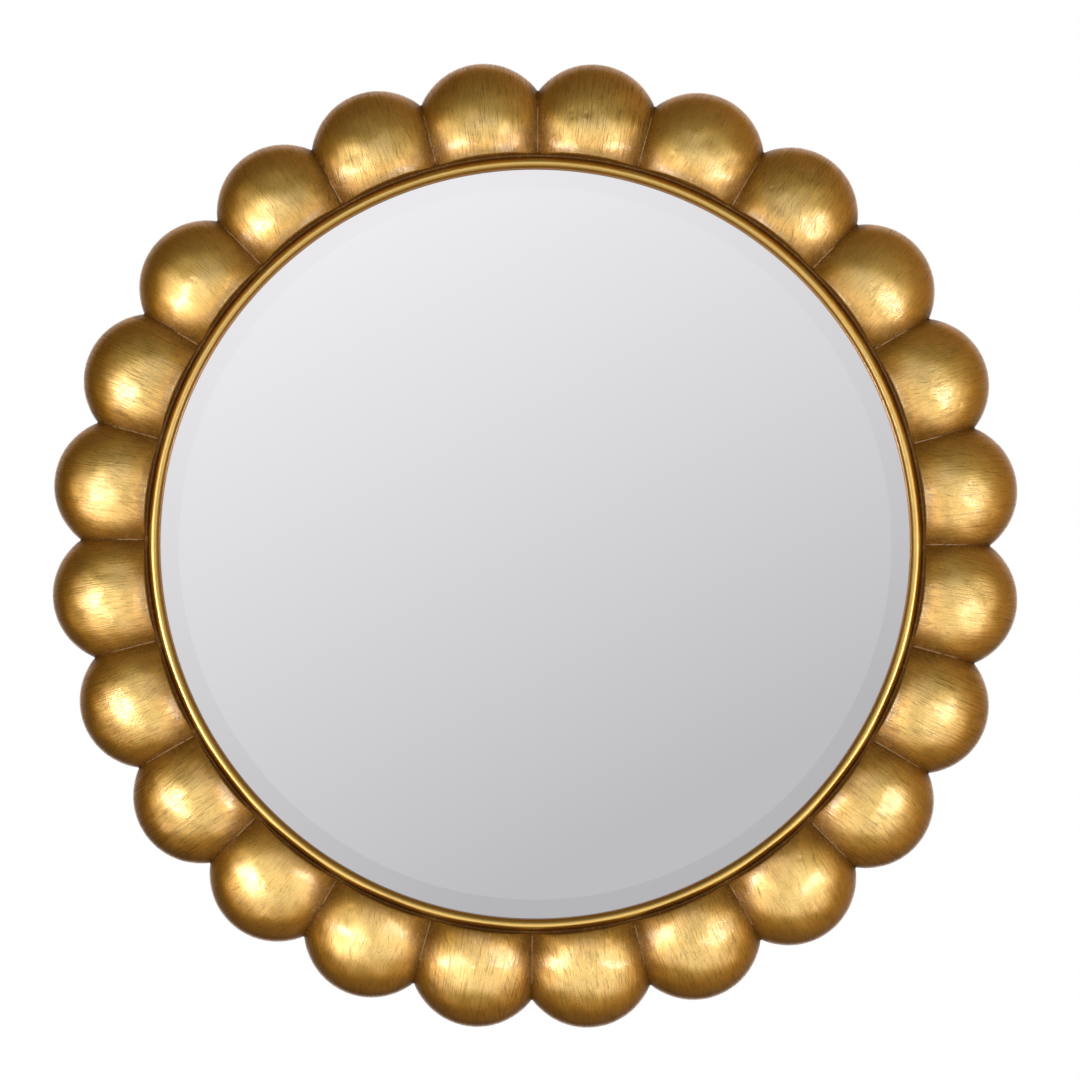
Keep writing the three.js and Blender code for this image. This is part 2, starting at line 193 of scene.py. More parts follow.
def arc(x, y, radius, start, stop, steps):
    """Points of a section along an arc, with angles in degrees."""
    angles = np.radians(np.linspace(start, stop, steps + 1))
    return [(x + radius * math.cos(a), y + radius * math.sin(a)) for a in angles]


def lathe(section, segments):
    """Turns a section of (radius, height) points about the centre line. A section that doesn't end
    where it starts gets a flat cap at each end. Returns lying points, section by section, and faces."""
    closed = section[0] == section[-1]
    section = section[:-1] if closed else section
    count = len(section)
    angles = 2 * math.pi * np.arange(segments) / segments
    radii = np.array([p[0] for p in section])
    heights = np.array([p[1] for p in section])
    x = np.outer(np.cos(angles), radii).ravel()
    y = np.outer(np.sin(angles), radii).ravel()
    z = np.tile(heights, segments)
    faces = []
    for i in range(segments):
        a = i * count
        b = ((i + 1) % segments) * count
        for j in range(count if closed else count - 1):
            k = (j + 1) % count
            faces.append((a + j, b + j, b + k, a + k))
    if not closed:
        faces.append([i * count for i in range(segments)])
        faces.append([i * count + count - 1 for i in range(segments)])
    return np.stack([x, y, z], axis=1), faces


def soften(mesh, width, angle=math.radians(40), segments=2):
    """Rounds every edge that is sharper than an angle."""
    edit = bmesh.new()
    edit.from_mesh(mesh)
    edges = [e for e in edit.edges if e.is_manifold and e.calc_face_angle() > angle]
    bmesh.ops.bevel(
        edit, geom=edges, offset=width, segments=segments, profile=0.5, affect="EDGES", clamp_overlap=True
    )
    edit.to_mesh(mesh)
    edit.free()
    mesh.shade_smooth()
    mesh.set_sharp_from_angle(angle=angle)


# ---- Node helpers


def is_socket(value):
    return isinstance(value, bpy.types.NodeSocket)


def set_input(socket, value):
    if is_socket(value):
        socket.id_data.links.new(value, socket)
    else:
        socket.default_value = value


def add_node(tree, kind, inputs=None, **settings):
    """A shader node. An input is a number, a colour or another node's socket."""
    made = tree.nodes.new("ShaderNode" + kind)
    for name, value in settings.items():
        setattr(made, name, value)
    for key, value in (inputs or {}).items():
        set_input(made.inputs[key], value)
    return made


def follow(kind, inputs, **settings):
    """A shader node in the same tree as the sockets among its inputs. Returns its first output."""
    tree = next(value.id_data for value in inputs.values() if is_socket(value))
    return add_node(tree, kind, inputs, **settings).outputs[0]


def calculate(operation, *values, clamp=False):
    return follow("Math", dict(enumerate(values)), operation=operation, use_clamp=clamp)


def times(first, second):
    return calculate("MULTIPLY", first, second)


def larger(first, second):
    return calculate("MAXIMUM", first, second)


def weighted(value, weight, base, clamp=False):
    return calculate("MULTIPLY_ADD", value, weight, base, clamp=clamp)


def smooth_step(value, start, stop, low_value=0.0, high_value=1.0):
    inputs = {"Value": value, "From Min": start, "From Max": stop, "To Min": low_value, "To Max": high_value}
    return follow("MapRange", inputs, interpolation_type="SMOOTHSTEP")


def noise(vector, scale, detail=2.0, roughness=0.5):
    inputs = {"Vector": vector, "Scale": scale, "Detail": detail, "Roughness": roughness}
    return follow("TexNoise", inputs)


def streaks(vector, factors, detail=2.0, roughness=0.5):
    """Noise drawn out along the axes whose factors are low."""
    scaled = follow("VectorMath", {0: vector, 1: factors}, operation="MULTIPLY")
    return noise(scaled, 1.0, detail, roughness)


def mix_colour(factor, first, second):
    made = add_node(factor.id_data, "Mix", {0: factor, 6: first, 7: second}, data_type="RGBA")
    return made.outputs[2]


def overlaid(tone, pattern, start, stop, colour, most=1.0):
    """A tone with a colour over it that goes from none at one value of a pattern to most at another."""
    return mix_colour(smooth_step(pattern, start, stop, 0.0, most), tone, colour)


def bump(height, distance, strength=1.0, normal=None):
    inputs = {"Height": height, "Distance": distance, "Strength": strength}
    if normal is not None:
        inputs["Normal"] = normal
    return follow("Bump", inputs)


def attribute(tree, name, output="Fac"):
    return add_node(tree, "Attribute", attribute_name=name).outputs[output]


def new_material(name):
    """A material with its node tree, its Principled shader and the object's own coordinates."""
    material = bpy.data.materials.new(name)
    material.use_nodes = True
    tree = material.node_tree
    return material, tree, tree.nodes["Principled BSDF"], add_node(tree, "TexCoord").outputs["Object"]


def feed(shader, **sockets):
    """Sets or links inputs of a shader by name, with underscores for spaces."""
    for key, value in sockets.items():
        set_input(shader.inputs[key.replace("_", " ")], value)


# ---- Materials

# How far the brown of patina and painted shade reaches over a lobe, where the noise that breaks up its edge
# is at its fullest.
CREASE_PATINA_AND_SHADE = 27 * MM
GROOVE_PATINA_AND_SHADE = 22 * MM
CORNER_PATINA_AND_SHADE = 19 * MM  # farther from the crease, at its inner end
CORNER_LENGTH = 38 * MM  # out to where that has run out

# Lit and shaded copies of one gold: painted light on the crowns and painted shade on the flanks.
LIT_CROWN_GOLD = (0.96, 0.64, 0.155, 1)
SHADED_FLANK_GOLD = (0.86, 0.38, 0.015, 1)
PALE_GOLD = (0.98, 0.80, 0.40, 1)
# A brown that in the creases, along the groove and on the bead stands for patina and painted shade together.
PATINA = (0.09, 0.038, 0.006, 1)
DUSTY_PATINA = (0.25, 0.13, 0.042, 1)


def old_gold():
    """Waxed leaf on the lobes, with painted light and shade: paler yellow on the crowns where the
    highlights fall, deeper and redder towards the rims and the groove where the shade falls. It has pale
    rubbed lines, dark scratches and specks, and brown patina in the creases and along the groove, laid
    wider there to paint the shade too."""
    material, tree, shader, place = new_material("old_gold")
    brush = attribute(tree, "brush", "Vector")
    crossed = attribute(tree, "crossed", "Vector")
    fine = streaks(brush, (36, 860, 1), 4, 0.7)
    broad = streaks(brush, (14, 200, 1), 2, 0.5)
    scratch = streaks(crossed, (60, 760, 1), 2, 0.6)
    cloud = noise(place, 46, 7, 0.76)
    speck = noise(place, 620, 3, 0.65)
    ragged = noise(place, 170, 5, 0.7)

    crease = attribute(tree, "crease")
    groove = attribute(tree, "groove")
    rim = attribute(tree, "rim")
    # Brown patina in the creases, their inner corners and along the groove, laid wide enough to paint the
    # shade where the lobes curve down into them.
    corner = smooth_step(groove, 0.0, CORNER_LENGTH, CORNER_PATINA_AND_SHADE, 0.0)
    crease_reach = weighted(ragged, CREASE_PATINA_AND_SHADE, corner)
    crease_shade_and_patina = smooth_step(calculate("DIVIDE", crease, crease_reach), 0.0, 1.0, 0.82, 0.0)
    groove_reach = times(ragged, GROOVE_PATINA_AND_SHADE)
    groove_shade_and_patina = smooth_step(calculate("DIVIDE", groove, groove_reach), 0.0, 1.0, 0.58, 0.0)

    streak = smooth_step(fine, 0.50, 0.62, 0.0, 0.55)
    streak = times(streak, attribute(tree, "worn"))
    stain = smooth_step(cloud, 0.46, 0.74, 0.0, 0.36)
    specks = smooth_step(speck, 0.57, 0.70, 0.0, 0.5)
    cuts = smooth_step(scratch, 0.61, 0.67, 0.0, 0.5)
    flecks = smooth_step(speck, 0.34, 0.46, 0.5, 1.0)
    # Patina and painted shade together, broken by paler flecks.
    patina_and_painted_shade = larger(crease_shade_and_patina, groove_shade_and_patina)
    patina_and_painted_shade = times(patina_and_painted_shade, flecks)
    wear = calculate("ADD", streak, stain)
    wear = larger(wear, larger(specks, cuts))
    clean = calculate("SUBTRACT", 1.0, patina_and_painted_shade)
    wear_patina_and_shade = weighted(wear, clean, patina_and_painted_shade, clamp=True)
    wear_patina_and_shade = times(wear_patina_and_shade, 0.95)

    # Painted light and shade: the gold is paler towards the crowns, where the highlights fall, and deeper
    # and redder towards the rims.
    inward = weighted(calculate("SUBTRACT", broad, 0.5), 14 * MM, rim)
    gold_lit_and_shaded = overlaid(SHADED_FLANK_GOLD, inward, 8 * MM, 44 * MM, LIT_CROWN_GOLD)
    # Painted shade: deeper, redder gold towards the groove.
    gold_lit_and_shaded = mix_colour(smooth_step(groove, 5 * MM, 26 * MM, 0.45, 0.0), gold_lit_and_shaded, SHADED_FLANK_GOLD)
    gold_lit_and_shaded = mix_colour(smooth_step(scratch, 0.28, 0.36, 0.5, 0.0), gold_lit_and_shaded, PALE_GOLD)
    brown = overlaid(PATINA, ragged, 0.45, 0.7, DUSTY_PATINA)
    colour = mix_colour(wear_patina_and_shade, gold_lit_and_shaded, brown)

    roughness = weighted(fine, 0.08, 0.36)
    roughness = weighted(wear_patina_and_shade, 0.14, roughness)
    normal = bump(fine, 0.21 * MM)
    normal = bump(scratch, 0.06 * MM, 0.7, normal)
    normal = bump(speck, 0.04 * MM, 0.6, normal)
    normal = bump(ragged, 0.12 * MM, 0.5, normal)
    metal = weighted(patina_and_painted_shade, -0.35, 1.0)
    feed(shader, Base_Color=colour, Roughness=roughness, Metallic=metal, Normal=normal)
    coat = weighted(wear_patina_and_shade, -0.85, 1.0)
    feed(shader, Coat_Weight=coat, Coat_Roughness=0.19, Coat_IOR=2.05, Coat_Normal=normal)
    return material


def bead_gold():
    """Burnished gold on the bead, polished along it, with painted light on its crown, painted shade down its
    flanks, and brown patina with painted shade in the groove.
    """
    material, tree, shader, place = new_material("bead_gold")
    around = attribute(tree, "around", "Vector")
    lines = streaks(around, (9, 9, 900), 3, 0.55)
    cloud = noise(place, 34, 4, 0.6)
    ragged = noise(place, 260, 4, 0.65)
    # Patina and painted shade from the ring's section: painted shade down the inner flank, patina and
    # painted shade in the groove.
    patina_and_painted_shade = attribute(tree, "patina_and_painted_shade")
    edge = weighted(ragged, 0.24, -0.12)
    patina_and_painted_shade = smooth_step(calculate("ADD", patina_and_painted_shade, edge), 0.12, 0.92)
    wear = smooth_step(lines, 0.50, 0.75, 0.0, 0.12)
    stain = smooth_step(cloud, 0.48, 0.75, 0.0, 0.18)
    wear = calculate("ADD", wear, stain)
    wear_patina_and_shade = larger(times(patina_and_painted_shade, 0.92), wear)
    # Painted light and shade: lit gold on the bead's crown, shaded gold down its flanks.
    painted_bead_shade = attribute(tree, "painted_bead_shade")
    gold_lit_and_shaded = overlaid(LIT_CROWN_GOLD, painted_bead_shade, 0.25, 0.85, SHADED_FLANK_GOLD)
    brown = overlaid(PATINA, ragged, 0.5, 0.72, DUSTY_PATINA)
    colour = mix_colour(wear_patina_and_shade, gold_lit_and_shaded, brown)
    roughness = weighted(lines, 0.06, 0.30)
    roughness = weighted(patina_and_painted_shade, 0.2, roughness)
    metal = weighted(patina_and_painted_shade, -0.35, 1.0)
    normal = bump(lines, 0.008 * MM, 0.5)
    normal = bump(ragged, 0.06 * MM, 0.3, normal)
    feed(shader, Base_Color=colour, Roughness=roughness, Metallic=metal, Normal=normal)
    coat = weighted(patina_and_painted_shade, -0.9, 1.0)
    feed(shader, Coat_Weight=coat, Coat_Roughness=0.2, Coat_IOR=1.7)
    return material


def worn_glue():
    """The worn pale line of gesso and glue that shows where two lobes meet."""
    material, tree, shader, place = new_material("worn_glue")
    broken = noise(place, 260, 4, 0.7)
    fade = attribute(tree, "fade")
    shown = smooth_step(calculate("SUBTRACT", broken, fade), 0.33, 0.48)
    chalky = mix_colour(noise(place, 900), (0.26, 0.15, 0.06, 1), (0.54, 0.37, 0.18, 1))
    colour = mix_colour(shown, PATINA, chalky)
    normal = bump(broken, 0.15 * MM, 0.6)
    feed(shader, Base_Color=colour, Roughness=0.6, Metallic=0.15, Normal=normal)
    return material


def mirror_silver():
    """Silvered glass, a little dim and hazy, with specks of dust."""
    material, _, shader, place = new_material("mirror_silver")
    haze = noise(place, 7, 3, 0.5)
    dust = noise(place, 900, 2, 0.5)
    film = smooth_step(haze, 0.35, 0.75, 0.012, 0.035)
    specks = smooth_step(dust, 0.74, 0.80, 0.0, 0.05)
    roughness = calculate("ADD", film, specks)
    tint = mix_colour(haze, (0.865, 0.862, 0.872, 1), (0.855, 0.856, 0.868, 1))
    feed(shader, Base_Color=tint, Roughness=roughness, Metallic=1.0)
    return material


def raw_wood():
    """The ungilded backs of the lobes and of the bead ring, stained and toned."""
    material, tree, shader, place = new_material("raw_wood")
    along = attribute(tree, "brush", "Vector")
    rings = streaks(along, (14, 160, 1), 4, 0.6)
    pores = streaks(along, (60, 1500, 1), 2, 0.6)
    cloud = noise(place, 18, 3, 0.6)
    tone = overlaid((0.30, 0.175, 0.085, 1), rings, 0.35, 0.68, (0.42, 0.27, 0.14, 1))
    tone = overlaid(tone, pores, 0.58, 0.72, (0.12, 0.065, 0.03, 1), 0.7)
    tone = overlaid(tone, cloud, 0.5, 0.8, (0.20, 0.12, 0.06, 1), 0.4)
    normal = bump(pores, 0.15 * MM, 0.5)
    normal = bump(rings, 0.20 * MM, 0.3, normal)
    roughness = weighted(rings, 0.12, 0.6)
    feed(shader, Base_Color=tone, Roughness=roughness, Normal=normal)
    return material


def plywood_face():
    """A plain veneer with its grain level."""
    material, _, shader, place = new_material("plywood_face")
    grain = streaks(place, (9, 1, 120), 5, 0.6)
    figure = streaks(place, (3, 1, 26), 3, 0.55)
    pores = streaks(place, (70, 1, 1900), 2, 0.6)
    tone = overlaid((0.55, 0.38, 0.21, 1), figure, 0.3, 0.7, (0.70, 0.52, 0.32, 1))
    tone = overlaid(tone, grain, 0.45, 0.75, (0.42, 0.26, 0.13, 1), 0.55)
    tone = overlaid(tone, pores, 0.62, 0.74, (0.26, 0.15, 0.075, 1), 0.5)
    normal = bump(pores, 0.08 * MM, 0.5)
    normal = bump(grain, 0.12 * MM, 0.3, normal)
    roughness = weighted(grain, 0.15, 0.55)
    feed(shader, Base_Color=tone, Roughness=roughness, Normal=normal)
    return material


def plywood_edge():
    """Plies of alternate grain across the ring's edges, under a thin brown stain."""
    material, tree, shader, place = new_material("plywood_edge")
    layer = attribute(tree, "ply")
    wobble = noise(place, 60, 2, 0.5)
    height = weighted(wobble, 0.35, layer)
    joined = follow("CombineXYZ", {"X": height})
    plies = add_node(tree, "TexWave", {"Vector": joined, "Scale": 1.0, "Distortion": 0.0})
    fibre = streaks(place, (420, 900, 420), 3, 0.6)
    dark = smooth_step(plies.outputs["Fac"], 0.42, 0.58)
    tone = mix_colour(dark, (0.46, 0.30, 0.16, 1), (0.24, 0.145, 0.075, 1))
    tone = overlaid(tone, fibre, 0.45, 0.75, (0.13, 0.075, 0.04, 1), 0.5)
    normal = bump(fibre, 0.2 * MM, 0.5)
    feed(shader, Base_Color=tone, Roughness=0.72, Normal=normal)
    return material


def brown_hardboard():
    """Pressed fibre with paler flecks, and patches where it is more or less glossy."""
    material, _, shader, place = new_material("brown_hardboard")
    fibre = streaks(place, (260, 260, 420), 5, 0.7)
    cloud = noise(place, 6, 4, 0.6)
    fleck = streaks(place, (900, 900, 300), 2, 0.5)
    tone = overlaid((0.185, 0.105, 0.055, 1), fibre, 0.3, 0.7, (0.29, 0.175, 0.095, 1))
    tone = overlaid(tone, cloud, 0.35, 0.75, (0.34, 0.215, 0.12, 1), 0.45)
    tone = overlaid(tone, fleck, 0.66, 0.76, (0.50, 0.36, 0.22, 1), 0.7)
    normal = bump(fibre, 0.10 * MM, 0.5)
    roughness = weighted(cloud, 0.25, 0.42)
    feed(shader, Base_Color=tone, Roughness=roughness, Normal=normal)
    return material


def zinc_plate():
    """Bright zinc on pressed steel, with rolling lines, a fine spangle and a faint yellow bloom."""
    material, tree, shader, place = new_material("zinc_plate")
    bloom = noise(place, 90, 4, 0.6)
    rolled = streaks(place, (2600, 2600, 300), 3, 0.6)
    cells = add_node(tree, "TexVoronoi", {"Vector": place, "Scale": 900.0}).outputs["Color"]
    spangle = follow("SeparateColor", {"Color": cells})
    tone = overlaid((0.66, 0.67, 0.68, 1), bloom, 0.35, 0.7, (0.60, 0.57, 0.47, 1))
    tone = mix_colour(times(spangle, 0.12), tone, (0.42, 0.44, 0.47, 1))
    roughness = weighted(bloom, 0.18, 0.20)
    roughness = weighted(spangle, 0.06, roughness)
    normal = bump(rolled, 0.012 * MM, 0.6)
    feed(shader, Base_Color=tone, Roughness=roughness, Metallic=1.0, Normal=normal)
    return material


def black_rubber():
    """Moulded rubber with grey dust on it."""
    material, _, shader, place = new_material("black_rubber")
    skin = noise(place, 1500, 3, 0.6)
    dust = noise(place, 110, 4, 0.65)
    tone = overlaid((0.022, 0.022, 0.023, 1), dust, 0.45, 0.8, (0.075, 0.070, 0.064, 1))
    roughness = weighted(dust, 0.25, 0.55)
    normal = bump(skin, 0.05 * MM, 0.5)
    feed(shader, Base_Color=tone, Roughness=roughness, Normal=normal)
    return material


GILT = old_gold()
BURNISHED = bead_gold()
GLUE = worn_glue()
SILVER = mirror_silver()
WOOD = raw_wood()
PLY_FACE = plywood_face()
PLY_EDGE = plywood_edge()
BOARD = brown_hardboard()
ZINC = zinc_plate()
RUBBER = black_rubber()

# ---- Lobes

ACROSS = 92  # faces from crease to crease
CROWDING = math.radians(80)  # draws them closer together towards the creases
EDGE_ROWS = 7  # over the rounded inner edge
DOME_ROWS = 70
UNDER_EDGE = (0.5 * MM, 1.5 * MM)  # heights over the bead's of two rows that run back under that edge
UNEVENNESS = 0.22 * MM  # how much carving and sanding took off the domes
WAVES = 14
WAVE_LENGTHS = (18, 70)  # in millimetres
LOBE_SEED_STEP = 7.3  # moves the noise on from lobe to lobe

# Knocks in the gilding of a lobe: where they lie beside its axis, outward and across, and their sizes.
DENT_COUNTS = (2, 6)
DENT_PLACES = ((-22 * MM, 32 * MM), (-36 * MM, 36 * MM))
DENT_RADII = (0.9 * MM, 2.2 * MM)
DENT_DEPTHS = (0.15 * MM, 0.45 * MM)


def dome_height(x, y):
    """Height of a lobe's dome over a point beside its axis, and the share of its radius out to there."""
    share = np.minimum(np.hypot(x, y) / LOBE_RADIUS, 1.0)
    return dome_base + DOME_HEIGHT * np.sqrt(1 - share**2), share


def outline_radius(angle):
    """From the centre line to a lobe's outline, at an angle from the middle of the lobe."""
    beside = lobe_axis * np.sin(angle)
    return lobe_axis * np.cos(angle) + np.sqrt(LOBE_RADIUS**2 - beside**2)


def unevenness(points):
    """A smooth wandering drop below true, the same for two lobes where they meet."""
    rng = np.random.default_rng(11)
    total = np.zeros(len(points))
    for _ in range(WAVES):
        turns = rng.normal(0, 1, 3)
        length = rng.uniform(*WAVE_LENGTHS) * MM
        phase = rng.uniform(0, 2 * math.pi)
        total += np.sin(points @ (turns / np.linalg.norm(turns)) * 2 * math.pi / length + phase)
    return np.minimum(total / math.sqrt(WAVES / 2) - 2.0, 0) * UNEVENNESS


def dents(points, rng):
    depth = np.zeros(len(points))
    for _ in range(rng.integers(*DENT_COUNTS)):
        outward, across = (rng.uniform(*place) for place in DENT_PLACES)
        radius = rng.uniform(*DENT_RADII)
        away = np.hypot(points[:, 0] - lobe_axis - outward, points[:, 1] - across)
        depth += rng.uniform(*DENT_DEPTHS) * np.exp(-((away / radius) ** 2))
    return depth


def lobe_front():
    """Points of a lobe's front, in rows from crease to crease, out from under its inner edge."""
    rolled = np.linspace(0, math.pi / 2, EDGE_ROWS + 1)
    edge = INNER_EDGE_ROUND * (1 - np.cos(rolled))
    drop = INNER_EDGE_ROUND * (1 - np.sin(rolled))
    outward = np.sin(np.linspace(0, math.pi / 2, DOME_ROWS + 1)[1:])
    even = np.linspace(-1, 1, ACROSS + 1)
    sides = 0.5 * np.sin(even * CROWDING) / math.sin(CROWDING) + 0.5 * even
    rows = []
    for radius, height in zip((lobe_inner, edge_radius), UNDER_EDGE):
        angle = sides * (HALF_PITCH - math.asin(CREASE_HALF_GAP / radius))
        level = np.full(len(angle), bead_spring + height)
        rows.append(np.stack([radius * np.cos(angle), radius * np.sin(angle), level], axis=1))
    for i in range(EDGE_ROWS + 1 + DOME_ROWS):
        limit = HALF_PITCH
        for _ in range(2):  # the outline and the gap at the crease depend on each other
            if i <= EDGE_ROWS:
                radius = np.full(len(sides), edge_radius + edge[i])
            else:
                first = edge_radius + INNER_EDGE_ROUND
                radius = first + (outline_radius(sides * limit) - first) * outward[i - EDGE_ROWS - 1]
            limit = HALF_PITCH - np.arcsin(CREASE_HALF_GAP / radius)
        angle = sides * limit
        x = radius * np.cos(angle)
        y = radius * np.sin(angle)
        height, _ = dome_height(x - lobe_axis, y)
        if i <= EDGE_ROWS:
            height = height - drop[i]
        rows.append(np.stack([x, y, height], axis=1))
    return np.stack(rows)


def front_border(rows, columns):
    """Points round the edge of a lobe's front, and whether the wall behind each is a glued side."""
    last_row = (rows - 1) * columns
    inner = list(range(columns - 1))
    one_side = [r * columns + columns - 1 for r in range(rows - 1)]
    outer = [last_row + c for c in range(columns - 1, 0, -1)]
    other_side = [r * columns for r in range(rows - 1, 0, -1)]
    glued = [False] * (columns - 1) + [True] * (rows - 1)
    return inner + one_side + outer + other_side, glued + glued


def lobe_piece(index, front):
    """One lobe: its gilded front and skirt, with plain wood behind and on the glued sides."""
    rng = np.random.default_rng(100 + index)
    name = f"{index + 1:02d}"
    angle = math.pi / 2 - (2 * index + 1) * HALF_PITCH
    rows, columns = front.shape[:2]
    local = front.reshape(-1, 3)
    share = dome_height(local[:, 0] - lobe_axis, local[:, 1])[1]
    free = np.clip((1 - share) / 0.25, 0, 1)  # the outline stays true
    free[: 2 * columns] = 0
    carved = local.copy()
    carved[:, 2] += free * unevenness(turned(local, angle)) - free * dents(local, rng)

    faces = []
    for r in range(rows - 1):
        for c in range(columns - 1):
            a = r * columns + c
            faces.append((a, a + 1, a + columns + 1, a + columns))
    front_faces = len(faces)
    loop, glued = front_border(rows, columns)
    count = len(loop)
    border = carved[loop]
    inward = np.array([lobe_axis, 0]) - border[:, :2]
    inward /= np.linalg.norm(inward, axis=1)[:, None]
    foot = border[:, :2] * np.maximum(lobe_inner / np.hypot(border[:, 0], border[:, 1]), 1)[:, None]
    lower = np.column_stack([foot, np.full(count, frame_rear + BACK_EDGE_EASE)])
    eased = np.column_stack([foot + inward * BACK_EDGE_EASE, np.full(count, frame_rear)])
    first = len(carved)
    for k in range(count):
        n = (k + 1) % count
        faces.append((loop[k], loop[n], first + n, first + k))
        faces.append((first + k, first + n, first + count + n, first + count + k))
    faces.append([first + count + k for k in range(count)])
    points = np.vstack([carved, lower, eased])

    mesh = make_mesh("lobe_" + name + "_mesh", stand(turned(points, angle)), faces)
    on_wood = np.concatenate([np.zeros(front_faces), np.repeat(glued, 2), [1]])
    mesh.polygons.foreach_set("material_index", on_wood.astype(np.int32))
    mark_gilding(mesh, points, index, rng)
    add_piece(mesh, "gilt_lobe_" + name, [GILT, WOOD], ["lobe_" + name])


def mark_gilding(mesh, points, index, rng):
    """What a lobe's gilding follows: how far a point lies from the crease, the groove and the outline,
    how worn the lobe is, and the directions of its brush lines and scratches."""
    radius = np.hypot(points[:, 0], points[:, 1])
    polar = np.arctan2(points[:, 1], points[:, 0])
    out = points[:, 0] - lobe_axis
    set_floats(mesh, "crease", radius * np.sin(np.maximum(HALF_PITCH - np.abs(polar), 0)))
    set_floats(mesh, "groove", radius - lobe_inner)
    set_floats(mesh, "rim", np.maximum(LOBE_RADIUS - np.hypot(out, points[:, 1]), 0))
    set_floats(mesh, "worn", np.full(len(points), rng.uniform(0.3, 1.0)))
    tilt = rng.uniform(-0.06, 0.06)
    fan = rng.uniform(-2.0, 3.0)
    bow = 1.5
    across = (points[:, 1] - np.sin(tilt) * out) * (1 + fan * out)
    along = points[:, 0] + bow * points[:, 1] ** 2
    which = np.full(len(points), LOBE_SEED_STEP * index)
    set_vectors(mesh, "brush", np.column_stack([along, across, which]))
    slant = rng.choice([-1, 1]) * rng.uniform(0.15, 0.5)
    c, d = math.cos(slant), math.sin(slant)
    set_vectors(mesh, "crossed", np.column_stack([c * along - d * across, d * along + c * across, which]))


GLUE_STEPS = 90
GLUE_SIDES = 8
GLUE_SHARES = (0.0, 0.08, 0.6, 0.9, 1.0)  # of the way out along a crease
GLUE_GIRTHS = (0.5, 0.6, 0.35, 0.3, 0.7)  # half the ridge's width there, in millimetres
GLUE_RISE = 0.10 * MM
GLUE_WANDER = 0.12 * MM
WANDER_SPAN = 9  # steps over which its wandering is evened out
POST_SIDES = 12
POST_DEPTH = 2.2 * MM
POST_HALF_WIDTH = 1.7 * MM
POST_INSET = 0.9 * MM  # from the end of the ridge
POST_LEVELS = ((0.8, 0.9), (1.6, 1.0), (4, 1.0), (8, 0.8), (12, 0.3))  # height in millimetres, girth


def glue_ridge(rng, stop):
    """Points of a thin uneven ridge along a crease, ring by ring, and how far it has faded at each."""
    share = np.linspace(0, 1, GLUE_STEPS + 1)
    radii = np.linspace(lobe_inner, stop, GLUE_STEPS + 1)
    length = rng.uniform(0.3, 0.8)
    rough = rng.normal(0, 1, GLUE_STEPS + WANDER_SPAN)
    wander = np.convolve(rough, np.ones(WANDER_SPAN) / WANDER_SPAN, "valid")
    girth = np.interp(share, GLUE_SHARES, GLUE_GIRTHS) * MM * (1 + 0.5 * wander)
    height, _ = dome_height(radii * math.cos(HALF_PITCH) - lobe_axis, radii * math.sin(HALF_PITCH))
    middle = GLUE_WANDER * np.roll(wander, -4)
    around = 2 * math.pi * np.arange(GLUE_SIDES) / GLUE_SIDES
    across = middle[:, None] + girth[:, None] * np.cos(around)
    level = height[:, None] + GLUE_RISE + 0.75 * girth[:, None] * np.sin(around)
    points = np.column_stack([np.repeat(radii, GLUE_SIDES), across.ravel(), level.ravel()])
    return points, np.repeat(np.maximum(0, (share - length) * 1.6), GLUE_SIDES)


def glue_post(stop):
    """Points of the fillet that fills a crease where it meets the outline, ring by ring."""
    around = 2 * math.pi * np.arange(POST_SIDES) / POST_SIDES
    rings = []
    for height, girth in POST_LEVELS:
        out = stop - POST_INSET + POST_DEPTH * girth * np.sin(around)
        across = POST_HALF_WIDTH * girth * np.cos(around)
        rings.append(np.column_stack([out, across, np.full(POST_SIDES, frame_rear + height * MM)]))
    return np.vstack(rings)


def glue_lines():
    """The ridge and the fillet of glue in every crease, as one piece."""
    rng = np.random.default_rng(5)
    stop = outline_radius(HALF_PITCH) - 0.6 * MM
    post = glue_post(stop)
    points, faces, fade = [], [], []
    for k in range(LOBE_COUNT):
        angle = math.pi / 2 - 2 * k * HALF_PITCH
        ridge, ridge_fade = glue_ridge(rng, stop)
        for tube, sides in ((ridge, GLUE_SIDES), (post, POST_SIDES)):
            faces += tube_faces(len(points), len(tube) // sides, sides)
            points += list(turned(tube, angle))
        fade += list(ridge_fade) + [1.0] * len(post)
    points = np.array(points)
    points[:, 2] += unevenness(points) * 0.3
    mesh = make_mesh("glue_lines_mesh", stand(points), faces)
    set_floats(mesh, "fade", fade)
    add_piece(mesh, "crease_glue_lines", [GLUE])


# ---- Bead ring, glass and boards

FINE_SEGMENTS = 720
BOARD_SEGMENTS = 360
BACKING_SEGMENTS = 480
PLIES = 4.5


